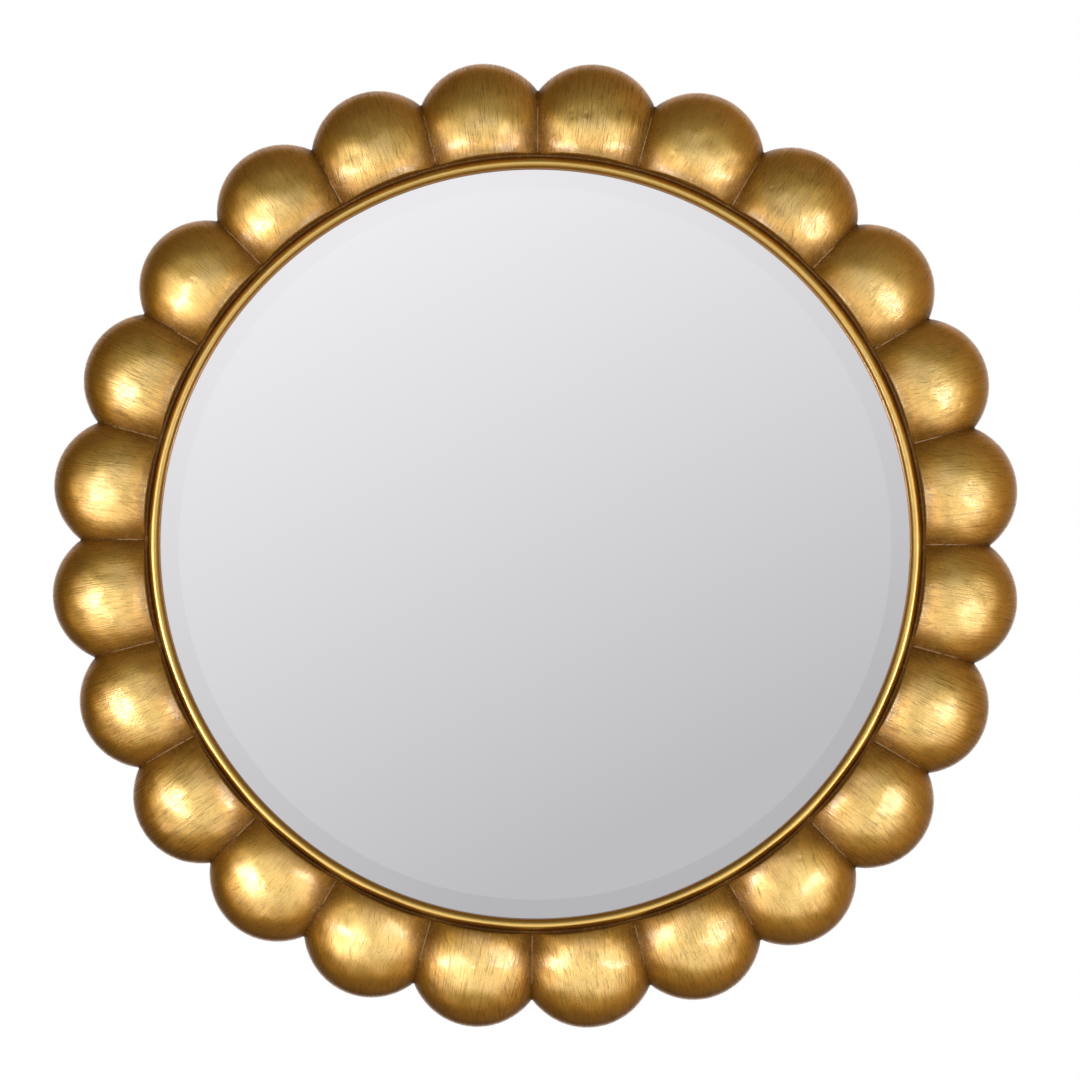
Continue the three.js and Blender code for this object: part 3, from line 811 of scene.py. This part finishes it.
def bead_ring():
    """The turned ring: rabbet, ledge, half-round bead and the hollow groove outside it."""
    bevel_slope = (glass_front - glass_rear - GLASS_EDGE_THICKNESS) / BEVEL_WIDTH
    ledge = glass_front - bevel_slope * (sight_radius - (glass_radius - BEVEL_WIDTH)) + FIT_GAP
    rabbet = glass_radius + RABBET_CLEARANCE
    crown = sight_radius + BEAD_RADIUS
    ease = 0.4 * MM
    arris = 0.3 * MM
    section = [(rabbet, frame_rear + ease), (rabbet, ledge), (sight_radius + arris, ledge)]
    section.append((sight_radius, ledge + arris))
    section += arc(crown, bead_spring, BEAD_RADIUS, 180, 0, 26)
    section += arc(bead_outer + GROOVE_RADIUS, bead_spring, GROOVE_RADIUS, 180, 360, 12)[1:]
    section += [(ring_outer, frame_rear + ease), (ring_outer - ease, frame_rear)]
    section += [(rabbet + ease, frame_rear), (rabbet, frame_rear + ease)]
    points, faces = lathe(section, FINE_SEGMENTS)
    points[:, 2] += np.where(points[:, 2] > ledge, unevenness(points) * 0.12, 0)
    mesh = make_mesh("bead_mesh", stand(points), faces)
    along = np.tile(distance_along(section[:-1]), FINE_SEGMENTS)
    radius, height = np.array(section[:-1]).T
    count = len(radius)
    wood = [j < 1 or j >= count - 3 for j in range(count)]  # the rabbet's wall and the back
    mesh.polygons.foreach_set("material_index", np.tile(np.array(wood, np.int32), FINE_SEGMENTS))
    beyond = (radius - crown) / BEAD_RADIUS
    # Painted light and shade: the crown takes the lit gold and the flanks the shaded gold.
    painted_bead_shade = np.interp(beyond, [-1.0, 0.0, 1.0, 1.2], [1.0, 0.0, 0.3, 1.0])
    # Painted shade in brown down the bead's inner flank, and patina with painted shade in the groove.
    patina_and_painted_shade = np.interp(beyond, [-1.0, -0.25, 0.25, 1.0, 1.2, 1.5, 1.9], [0.6, 0.56, 0.0, 0.0, 0.5, 0.6, 0.45])
    patina_and_painted_shade[height < ledge] = 1.0
    set_floats(mesh, "patina_and_painted_shade", np.tile(patina_and_painted_shade, FINE_SEGMENTS))
    set_floats(mesh, "painted_bead_shade", np.tile(painted_bead_shade, FINE_SEGMENTS))
    turn = 2 * math.pi * np.repeat(np.arange(FINE_SEGMENTS), count) / FINE_SEGMENTS
    set_vectors(mesh, "around", np.column_stack([np.cos(turn), np.sin(turn), along]))
    set_vectors(mesh, "brush", np.column_stack([0.3 * np.cos(turn), 0.3 * np.sin(turn), along]))
    add_piece(mesh, "turned_bead_ring", [BURNISHED, WOOD], ["sight_bead"])


def glass_plate():
    """The bevelled plate. Its flat caps end half-way in, well clear of the bevel."""
    flat = glass_radius - BEVEL_WIDTH
    ease = 0.3 * MM
    arris = 0.2 * MM
    edge_front = glass_rear + GLASS_EDGE_THICKNESS
    section = [
        (flat / 2, glass_rear),
        (glass_radius - ease, glass_rear),
        (glass_radius, glass_rear + ease),
        (glass_radius, edge_front - arris),
        (glass_radius - arris, edge_front),
        (flat, glass_front),
        (flat / 2, glass_front),
    ]
    points, faces = lathe(section, FINE_SEGMENTS)
    mesh = make_mesh("glass_mesh", stand(points), faces, sharp_angle=math.radians(3))
    add_piece(mesh, "bevelled_mirror_plate", [SILVER], ["mirror_glass"])


def back_board_piece():
    ease = 0.4 * MM
    section = [
        (board_radius / 2, board_rear),
        (board_radius - ease, board_rear),
        (board_radius, board_rear + ease),
        (board_radius, board_front),
        (board_radius / 2, board_front),
    ]
    points, faces = lathe(section, BOARD_SEGMENTS)
    mesh = make_mesh("board_mesh", stand(points), faces)
    add_piece(mesh, "hardboard_back", [BOARD], ["back_board"])


def backing_ring_piece():
    """The plywood ring, with veneer on its two faces and its plies showing on the rounded edges."""
    inner = lobe_inner + BACKING_SET_BACK
    ease = 0.8 * MM
    steps = 4
    section = arc(inner + ease, backing_rear + ease, ease, 180, 270, steps)
    section += arc(backing_outer - ease, backing_rear + ease, ease, 270, 360, steps)
    section += arc(backing_outer - ease, backing_front - ease, ease, 0, 90, steps)
    section += arc(inner + ease, backing_front - ease, ease, 90, 180, steps)
    section.append(section[0])
    points, faces = lathe(section, BACKING_SEGMENTS)
    mesh = make_mesh("backing_mesh", stand(points), faces)
    on_edge = [j not in (steps, 3 * steps + 2) for j in range(len(section) - 1)]
    mesh.polygons.foreach_set("material_index", np.tile(np.array(on_edge, np.int32), BACKING_SEGMENTS))
    set_floats(mesh, "ply", (points[:, 2] - backing_rear) / (backing_front - backing_rear) * PLIES)
    add_piece(mesh, "plywood_ring", [PLY_FACE, PLY_EDGE], ["backing_ring"])


# ---- Sheet metal, screws, rings and bumpers


CLIP_COUNT = 8
CLIP_THICKNESS = 1.2 * MM
CLIP_HALF_WIDTH = 8 * MM
CLIP_BEND = 1.4 * MM  # inner radius
CLIP_FOOT = 15 * MM  # from the lobes' inner edge
CLIP_TOE = 12 * MM  # from the riser
CLIP_TIP = 4 * MM  # the straight ends
STRAP_THICKNESS = 1.5 * MM
STRAP_HALF_WIDTH = 6.5 * MM
STRAP_TIP = 5 * MM
STRIP_CORNER = 5 * MM
EYE_RADIUS = 3.35 * MM  # outside
EYE_CLEAR = 6 * MM  # the strap keeps its full width from here to the eye
EYE_END = 198  # where the rolled end meets the strap again, in degrees
WIRE_RADIUS = 1.5 * MM
RING_CORNER = 3 * MM
RING_BOW = 10 * MM
RING_ARM = 2.5 * MM
RING_SIDES = 20
SCREW_RADIUS = 1.75 * MM
SCREW_HEAD = 4.0 * MM
SCREW_HEAD_HEIGHT = 2.3 * MM
SCREW_POINT = 3 * MM
LONG_SCREW = 16 * MM
SHORT_SCREW = 11.1 * MM
RECESS_ENDS = ((0.9, 1.0, 0.3), (3.0, 2.6, 0.62))  # height, half length and half width of a slot, in mm


def strip(path, thickness, half_width):
    """A strip bent along a side view of (along, height) points, with the ends' corners rounded.
    Its thickness lies to the left of the path. Returns points (along, across, height) and faces."""
    path = np.array(path, float)
    run = distance_along(path)
    rounding = STRIP_CORNER * (1 - np.cos(np.linspace(0, math.pi / 2, 9)))
    places = np.sort(np.concatenate([run, rounding, run[-1] - rounding]))
    places = places[np.append(True, np.diff(places) > SAME_POINT)]
    line = np.column_stack([np.interp(places, run, path[:, 0]), np.interp(places, run, path[:, 1])])
    tangent = np.gradient(line, places, axis=0)
    tangent /= np.linalg.norm(tangent, axis=1)[:, None]
    other = line + np.column_stack([-tangent[:, 1], tangent[:, 0]]) * thickness
    short = np.maximum(STRIP_CORNER - np.minimum(places, run[-1] - places), 0)
    half = half_width - STRIP_CORNER + np.sqrt(np.maximum(STRIP_CORNER**2 - short**2, 0))
    points = []
    for (a, h), (b, k), w in zip(line, other, half):
        points += [(a, -w, h), (a, w, h), (b, w, k), (b, -w, k)]
    return np.array(points), tube_faces(0, len(line), 4)


def clip_strips():
    """Z-bent clips: the foot is screwed to a lobe and the toe presses on the back board."""
    foot_front = frame_rear - FIT_GAP
    toe_front = board_rear - FIT_GAP
    riser = board_radius
    foot_end = lobe_inner + CLIP_FOOT
    toe_end = riser - CLIP_THICKNESS - CLIP_TOE
    outer_bend = CLIP_BEND + CLIP_THICKNESS
    path = [(foot_end, foot_front), (foot_end - CLIP_TIP, foot_front)]
    path += arc(riser + CLIP_BEND, foot_front + CLIP_BEND, CLIP_BEND, 270, 180, 8)
    path += arc(riser - outer_bend, toe_front - outer_bend, outer_bend, 0, 90, 8)
    path += [(toe_end + CLIP_TIP, toe_front), (toe_end, toe_front)]
    points, faces = strip(path, CLIP_THICKNESS, CLIP_HALF_WIDTH)
    for number in range(1, CLIP_COUNT + 1):
        lobe = 3 * number - 2
        angle = math.pi / 2 - (2 * lobe + 1) * HALF_PITCH
        mesh = make_mesh(f"clip_{number}_mesh", stand(turned(points, angle)), faces)
        soften(mesh, 0.18 * MM)
        add_piece(mesh, f"offset_clip_{number}", [ZINC], [f"clip_{number}"])


def slot_cutter(turn):
    """A tapered block that cuts one slot of a cross recess."""
    corners = []
    for height, half_length, half_width in RECESS_ENDS:
        for sx, sy in ((-1, -1), (1, -1), (1, 1), (-1, 1)):
            corners.append((sx * half_length * MM, sy * half_width * MM, height * MM))
    return add_object("recess", make_mesh("recess", turned(corners, turn), tube_faces(0, 2, 4)))


def screw_mesh(length):
    """A pan-head wood screw along Z with a cross recess. Its head sits on Z = 0 and points up."""
    shoulder = 1.2 * MM
    crown = [(SCREW_HEAD, 0.0)] + arc(SCREW_HEAD - shoulder, 1.0 * MM, shoulder, 0, 70, 6)
    top, level = crown[-1]
    rise = SCREW_HEAD_HEIGHT - level
    crown += [(top * share, level + rise * (1 - share**2)) for share in (0.8, 0.6, 0.4, 0.2, 0.05)]
    shank = [(0.15 * MM, -length), (SCREW_RADIUS, SCREW_POINT - length), (SCREW_RADIUS, 0.0)]
    points, faces = lathe(shank + crown, 40)
    body = add_object("screw_blank", make_mesh("screw_blank", points, faces))
    cutters = [slot_cutter(0), slot_cutter(math.pi / 2)]
    for cutter in cutters:
        cut = body.modifiers.new("recess", "BOOLEAN")
        cut.operation = "DIFFERENCE"
        cut.solver = "EXACT"
        cut.object = cutter
    bpy.context.view_layer.update()
    shaped = body.evaluated_get(bpy.context.evaluated_depsgraph_get())
    mesh = bpy.data.meshes.new_from_object(shaped)
    for made in cutters + [body]:
        bpy.data.objects.remove(made)
    mesh.shade_smooth()
    mesh.set_sharp_from_angle(angle=math.radians(35))
    return mesh


def place_screw(blank, name, node, turn):
    """Sets a copy of a screw where its CAD node is, with its head towards the wall."""
    start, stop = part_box(node)
    middle = (start + stop) / 2
    mesh = blank.copy()
    points = np.empty(len(mesh.vertices) * 3)
    mesh.vertices.foreach_get("co", points)
    x, y, z = turned(points.reshape(-1, 3), turn).T
    seated = np.column_stack([middle.x + x, stop.y - SCREW_HEAD_HEIGHT + z, middle.z - y])
    mesh.vertices.foreach_set("co", seated.ravel())
    mesh.update()
    add_piece(mesh, name, [ZINC], [node])


def screws():
    rng = np.random.default_rng(21)
    long_blank = screw_mesh(LONG_SCREW)
    short_blank = screw_mesh(SHORT_SCREW)
    for number in range(1, CLIP_COUNT + 1):
        place_screw(long_blank, f"clip_pan_screw_{number}", f"clip_screw_{number}", rng.uniform(0, 1.5))
    for side in ("left", "right"):
        for level in ("upper", "lower"):
            node = f"hanger_{side}_{level}_screw"
            place_screw(short_blank, f"hanger_{side}_{level}_pan_screw", node, rng.uniform(0, 1.5))


def rolled_strap(side, x, y, z):
    """A hanger's strap, with its eye rolled round the ring's hinge line."""
    length = z - low(f"hanger_{side}_strap").z
    path = [(-length, 0.0), (-length + STRAP_TIP, 0.0), (0.0, 0.0)]
    path += arc(0.0, EYE_RADIUS, EYE_RADIUS, -90, EYE_END, 40)[1:]
    points, faces = strip(path, STRAP_THICKNESS, STRAP_HALF_WIDTH)
    square = points[:, 0] > -EYE_CLEAR
    points[square, 1] = np.sign(points[square, 1]) * STRAP_HALF_WIDTH
    placed = np.column_stack([x + points[:, 1], y - EYE_RADIUS + points[:, 2], z + points[:, 0]])
    mesh = make_mesh(f"strap_{side}_mesh", placed, faces)
    soften(mesh, 0.2 * MM)
    add_piece(mesh, f"hanger_{side}_rolled_strap", [ZINC], [f"hanger_{side}_strap"])


def wire_ring(side, x, y, z):
    """A D of wire that hangs from its straight side, which lies in the strap's eye."""
    corner = RING_BOW - RING_CORNER
    line = [(0.0, 0.0)] + arc(corner, -RING_CORNER, RING_CORNER, 90, 0, 10)
    line += arc(0.0, -RING_CORNER - RING_ARM, RING_BOW, 0, -180, 48)
    line += arc(-corner, -RING_CORNER, RING_CORNER, 180, 90, 10)
    line = np.array(line)
    ahead = np.roll(line, -1, axis=0) - np.roll(line, 1, axis=0)
    ahead /= np.linalg.norm(ahead, axis=1)[:, None]
    points = []
    for (u, v), (du, dv) in zip(line, ahead):
        for j in range(RING_SIDES):
            around = 2 * math.pi * j / RING_SIDES
            reach = WIRE_RADIUS * math.cos(around)
            points.append((x + u - dv * reach, y + WIRE_RADIUS * math.sin(around), z + v + du * reach))
    mesh = make_mesh(f"ring_{side}_mesh", points, tube_faces(0, len(line), RING_SIDES, closed=True))
    name = f"hanger_{side}_wire_ring"
    add_piece(mesh, name, [ZINC], [f"hanger_{side}_ring"], f"{side}_ring")


def hanger_pieces():
    for joint in frame["joints"]:
        side = joint["child"].split("_")[0]
        rolled_strap(side, *joint["pos_m"])
        wire_ring(side, *joint["pos_m"])


def bumper_pieces():
    """Flared rubber feet with a shallow dish in the face that meets the wall."""
    core = 0.3 * MM
    dish = 0.25 * MM
    for level in ("upper", "lower"):
        for side in ("left", "right"):
            node = f"bumper_{level}_{side}"
            start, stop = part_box(node)
            middle = (start + stop) / 2
            height = -start.y
            section = [(core, dish), (5.2 * MM, dish), (5.6 * MM, 0.0)]
            section += arc(8.2 * MM, 1.0 * MM, 1.0 * MM, 270, 355, 6)
            section += [(9.75 * MM, height - 1.2 * MM), (9.95 * MM, height - 1.0 * MM)]
            section += [(10 * MM, height), (core, height)]
            points, faces = lathe(section, 64)
            placed = stand(points) + np.array([middle.x, 0, middle.z])
            mesh = make_mesh(node + "_mesh", placed, faces)
            add_piece(mesh, "rubber_" + node, [RUBBER], [node])


front = lobe_front()
for lobe_index in range(LOBE_COUNT):
    lobe_piece(lobe_index, front)
glue_lines()
bead_ring()
glass_plate()
back_board_piece()
backing_ring_piece()
clip_strips()
screws()
hanger_pieces()
bumper_pieces()

# ---- Floor, light and camera

FLOOR_HEIGHT = -1.40
FLOOR_RADIUS = 6.0
FLOOR_SIDES = 96
FLOOR_FADE = (1.2, 4.5)  # from its middle, where the camera sees it turn into plain white

# From where each part of the world starts to show to where it is whole, in degrees.
WINDOW_LEFT = (-66, -45)
WINDOW_RIGHT = (62, 38)
WINDOW_FOOT = (-51, -30)
WINDOW_TOP = (19, 1)
BACK_WALL_EDGE = (98, 116)
WHITE_BEHIND = (125, 160)
GLASS_VIEW = (26, 20)
BEVEL_VIEW = (10, 16)

# Levels of light, and how much they rise to the right and upwards.
WINDOW_LEVEL = 1.28
ROOM = (0.182, 0.11, -0.015)
BACK_WALL = (0.30, 0.06, 0.28)
GLASS = (0.774, -0.848, 1.6)
GLASS_LEAST = 0.60
GLASS_MIDDLE = 0.038  # height that the middle of the glass reflects
GLASS_SPAN = 0.12  # the slopes run out to here, and beyond it the level holds
BEVEL_DIMMER = (-0.040, 0.055)


def make_floor():
    """A pale floor that catches the mirror's shadow and that shiny things don't show."""
    material, tree, shader, place = new_material("pale_floor")
    distance = add_node(tree, "VectorMath", {0: place}, operation="LENGTH").outputs["Value"]
    tone = mix_colour(noise(place, 3, 3), (0.86, 0.86, 0.86, 1), (0.88, 0.88, 0.88, 1))
    feed(shader, Base_Color=tone, Roughness=0.8)
    white = add_node(tree, "Emission", {"Color": (1, 1, 1, 1), "Strength": 1.0})
    seen = add_node(tree, "LightPath").outputs["Is Camera Ray"]
    far = smooth_step(distance, *FLOOR_FADE)
    shares = {0: times(seen, far), 1: shader.outputs[0], 2: white.outputs[0]}
    mixed = add_node(tree, "MixShader", shares)
    tree.links.new(mixed.outputs[0], tree.nodes["Material Output"].inputs["Surface"])
    mesh = bpy.data.meshes.new("floor_mesh")
    angles = 2 * math.pi * np.arange(FLOOR_SIDES) / FLOOR_SIDES
    rim = [(FLOOR_RADIUS * math.cos(a), FLOOR_RADIUS * math.sin(a), FLOOR_HEIGHT) for a in angles]
    mesh.from_pydata(rim, [], [list(range(FLOOR_SIDES))])
    mesh.materials.append(material)
    floor = add_object("pale_floor", mesh)
    floor.visible_glossy = False


def make_world():
    """White for the camera and, behind the mirror, for shiny things. All else lights the mirror: a wide
    pale window before it, a dim warm room round it and, where the flat glass looks, a soft grey."""
    world = bpy.data.worlds.new("studio")
    bpy.context.scene.world = world
    world.use_nodes = True
    tree = world.node_tree
    background = tree.nodes["Background"]
    direction = add_node(tree, "TexCoord").outputs["Generated"]
    x, y, z = add_node(tree, "SeparateXYZ", {0: direction}).outputs
    ahead = times(y, -1.0)
    azimuth = calculate("ARCTAN2", x, ahead)
    height = calculate("ARCSINE", z)
    off_axis = calculate("ARCCOSINE", ahead)

    def edge(value, limits):
        return smooth_step(value, *(math.radians(limit) for limit in limits))

    def graded(level, across, up, x, z):
        return weighted(z, up, weighted(x, across, level))

    def blend(factor, first, second):
        return weighted(calculate("SUBTRACT", second, first), factor, first)

    window = times(edge(azimuth, WINDOW_LEFT), edge(azimuth, WINDOW_RIGHT))
    window = times(window, edge(height, WINDOW_FOOT))
    window = times(window, edge(height, WINDOW_TOP))
    behind = edge(off_axis, BACK_WALL_EDGE)
    level = blend(behind, graded(*ROOM, x, z), graded(*BACK_WALL, x, z))
    level = blend(window, level, WINDOW_LEVEL)

    rise = calculate("SUBTRACT", z, GLASS_MIDDLE)
    reach = weighted(rise, rise, times(x, x))
    pull = calculate("DIVIDE", GLASS_SPAN, calculate("SQRT", reach))
    pull = calculate("MINIMUM", pull, 1.0)
    pulled = [times(way, pull) for way in (x, rise)]
    glass = larger(graded(*GLASS, *pulled), GLASS_LEAST)
    dimmer = weighted(rise, BEVEL_DIMMER[1], BEVEL_DIMMER[0])
    glass = weighted(edge(off_axis, BEVEL_VIEW), dimmer, glass)
    in_glass = edge(off_axis, GLASS_VIEW)
    level = blend(in_glass, level, glass)

    pale = larger(times(window, 0.78), behind)
    pale = larger(pale, in_glass)
    green = times(level, weighted(pale, 0.195, 0.79))
    blue = times(level, weighted(pale, 0.6, 0.4))
    colour = follow("CombineXYZ", {"X": level, "Y": green, "Z": blue})
    ray = add_node(tree, "LightPath").outputs
    shiny = larger(ray["Is Glossy Ray"], ray["Is Transmission Ray"])
    shiny = times(shiny, edge(off_axis, WHITE_BEHIND))
    white = larger(ray["Is Camera Ray"], shiny)
    tree.links.new(mix_colour(white, colour, (1, 1, 1, 1)), background.inputs["Color"])


def aim_at(thing, place, aim, roll=0.0):
    turn = (Vector(aim) - Vector(place)).to_track_quat("-Z", "Y").to_matrix().to_4x4()
    thing.matrix_world = Matrix.Translation(place) @ turn @ Matrix.Rotation(roll, 4, "Z")


def add_lamp(name, place, size, radiance, in_gloss):
    """A round area lamp that looks at the mirror's middle with a face of a stated radiance."""
    light = bpy.data.lights.new(name, "AREA")
    light.shape = "DISK"
    light.size = size
    light.energy = math.pi * radiance * math.pi * (size / 2) ** 2
    lamp = add_object(name, light)
    aim_at(lamp, place, (0, 0, 0))
    lamp.visible_camera = False
    lamp.visible_glossy = in_gloss


def make_lamps():
    """Two softboxes with bright middles that the gold shows, and fill light that it doesn't."""
    for side, azimuth, elevation, distance, size, radiance in (
        ("left", -33, -8, 7.0, 2.8, 1.1),
        ("left_core", -33, -9, 6.8, 1.4, 15.5),
        ("right", 29, -8, 7.0, 2.2, 0.8),
        ("right_core", 29, -8, 6.8, 1.05, 14.5),
    ):
        azimuth, elevation = math.radians(azimuth), math.radians(elevation)
        level = distance * math.cos(elevation)
        place = (level * math.sin(azimuth), -level * math.cos(azimuth), distance * math.sin(elevation))
        add_lamp("softbox_" + side, place, size, radiance, True)
    add_lamp("front_fill", (0, -5, 2.5), 3.0, 0.9, False)
    add_lamp("back_fill_left", (-3, 4, 1.5), 2.5, 4.0, False)
    add_lamp("back_fill_right", (3, 4, 1.5), 2.5, 3.0, False)
    add_lamp("top_fill", (0, 0.5, 4.5), 3.0, 1.5, False)


LENS = 100.0
SENSOR = 36.0
FRAME_WIDTH = 1.0165  # what the photograph shows across, in the plane of the outline
CAMERA_ELEVATION = math.radians(-2.2)
CAMERA_AZIMUTH = math.radians(0.3)
CAMERA_ROLL = math.radians(0.385)
AIM_OFFSET = (4.7 * MM, 2.7 * MM)  # from the frame's centre to the middle of the picture


def make_camera():
    camera_data = bpy.data.cameras.new("camera")
    camera_data.lens = LENS
    camera_data.sensor_width = SENSOR
    camera = add_object("camera", camera_data)
    distance = FRAME_WIDTH * LENS / SENSOR
    level = distance * math.cos(CAMERA_ELEVATION)
    aim = (AIM_OFFSET[0], -dome_base, AIM_OFFSET[1])
    place = (
        aim[0] + level * math.sin(CAMERA_AZIMUTH),
        aim[1] - level * math.cos(CAMERA_AZIMUTH),
        aim[2] + distance * math.sin(CAMERA_ELEVATION),
    )
    aim_at(camera, place, aim, CAMERA_ROLL)
    bpy.context.scene.camera = camera


make_floor()
make_world()
make_lamps()
make_camera()
bpy.context.scene.view_settings.view_transform = "Standard"
